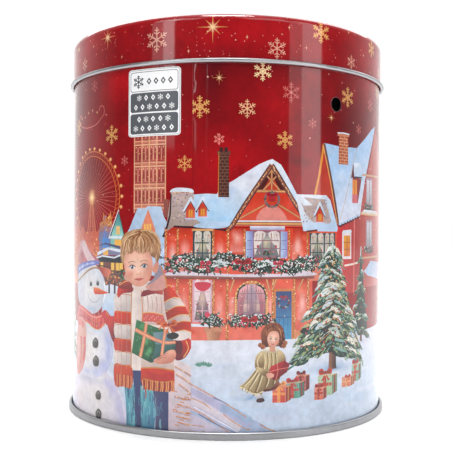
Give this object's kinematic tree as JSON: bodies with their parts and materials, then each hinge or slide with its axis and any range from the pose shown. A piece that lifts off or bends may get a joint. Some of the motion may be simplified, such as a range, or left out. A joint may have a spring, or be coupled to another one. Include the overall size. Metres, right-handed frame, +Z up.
{
  "type": "cookie tin",
  "caption": "Tall round tinplate tin with a printed winter scene, a drawn slip lid with a rolled rim, a double-seamed base and cord holes.",
  "frame": {"origin": "centre of the base, on the plane that the tin stands on", "axes": "+Z up along the tin's axis; -Y towards the front, with the side seam and the label to the left of it and a cord hole to the right"},
  "size_m": [0.154, 0.154, 0.1735],
  "materials": {
    "printed_tinplate": "gloss",
    "printed_lid": "gloss",
    "bare_tinplate": "satin",
    "sealing_compound": "matte",
    "label_paper": "satin"
  },
  "bodies": {
    "tin": {"wall": "printed_tinplate", "bottom_end": "bare_tinplate", "seam_compound": "sealing_compound", "front_label": "label_paper"},
    "lid": {"lid": "printed_lid"}
  },
  "joints": [
    {"name": "lid_lift", "type": "slide", "parent": "tin", "child": "lid", "axis": [0, 0, 1], "range_m": [0, 0.08]}
  ]
}
